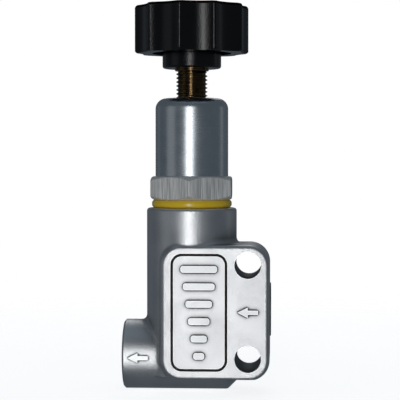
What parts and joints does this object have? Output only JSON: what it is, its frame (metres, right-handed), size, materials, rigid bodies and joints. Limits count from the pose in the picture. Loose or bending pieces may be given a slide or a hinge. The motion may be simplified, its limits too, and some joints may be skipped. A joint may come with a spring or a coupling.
{
  "type": "adjustable inline pressure and flow control valve",
  "caption": "Inline hydraulic valve with a cast body, threaded inlet and outlet ports, a spring bonnet and a lobed adjusting knob.",
  "frame": {"origin": "midway between the two mounting holes, on the rear mounting face", "axes": "+X towards the inlet side, +Y out of the rear mounting face, +Z along the barrel towards the knob"},
  "size_m": [0.0468, 0.036, 0.1222],
  "materials": {
    "cast_aluminium": "satin blasted die casting",
    "yellow_seal": "smooth moulded",
    "bonnet_steel": "fine turned",
    "screw_brass": "dark oiled thread",
    "knob_plastic": "semi-gloss moulded, fine texture",
    "spring_steel": "drawn wire",
    "hard_steel": "ground",
    "plain_steel": "turned",
    "inner_brass": "turned",
    "black_rubber": "moulded"
  },
  "bodies": {
    "housing": {"valve_body": "cast_aluminium", "bonnet_seal_ring": "yellow_seal", "bonnet": "bonnet_steel", "guide_bush": "inner_brass", "guide_bush_o_ring": "black_rubber", "piston_rod_seal": "black_rubber", "rod_seal_washer": "inner_brass", "inlet_spacer_sleeve": "inner_brass", "poppet_seal": "black_rubber", "inlet_flare_seat": "inner_brass", "outlet_flare_seat": "inner_brass"},
    "spring_seat": {"upper_spring_seat": "plain_steel", "thrust_ball": "hard_steel"},
    "adjuster": {"adjusting_screw": "screw_brass", "adjusting_knob": "knob_plastic", "screw_retaining_ring": "spring_steel"},
    "piston": {"metering_piston": "hard_steel", "lower_spring_seat": "plain_steel", "main_spring": "spring_steel"}
  },
  "joints": [
    {"name": "seat_travel", "type": "slide", "parent": "housing", "child": "spring_seat", "axis": [0, 0, 1], "range_m": [-0.00812, 0], "deforming": ["main_spring"]},
    {"name": "knob_turn", "type": "hinge", "parent": "spring_seat", "child": "adjuster", "pos_m": [-0.0182, -0.0072, 0], "axis": [0, 0, 1], "range_deg": [-2340, 0]},
    {"name": "piston_travel", "type": "slide", "parent": "housing", "child": "piston", "axis": [0, 0, 1], "range_m": [0, 0.0012], "stiffness_N_per_m": 2000, "springref_m": -0.001}
  ],
  "couplings": [
    {"joint": "knob_turn", "follows": "seat_travel", "rad_per_m": 5026.5}
  ]
}
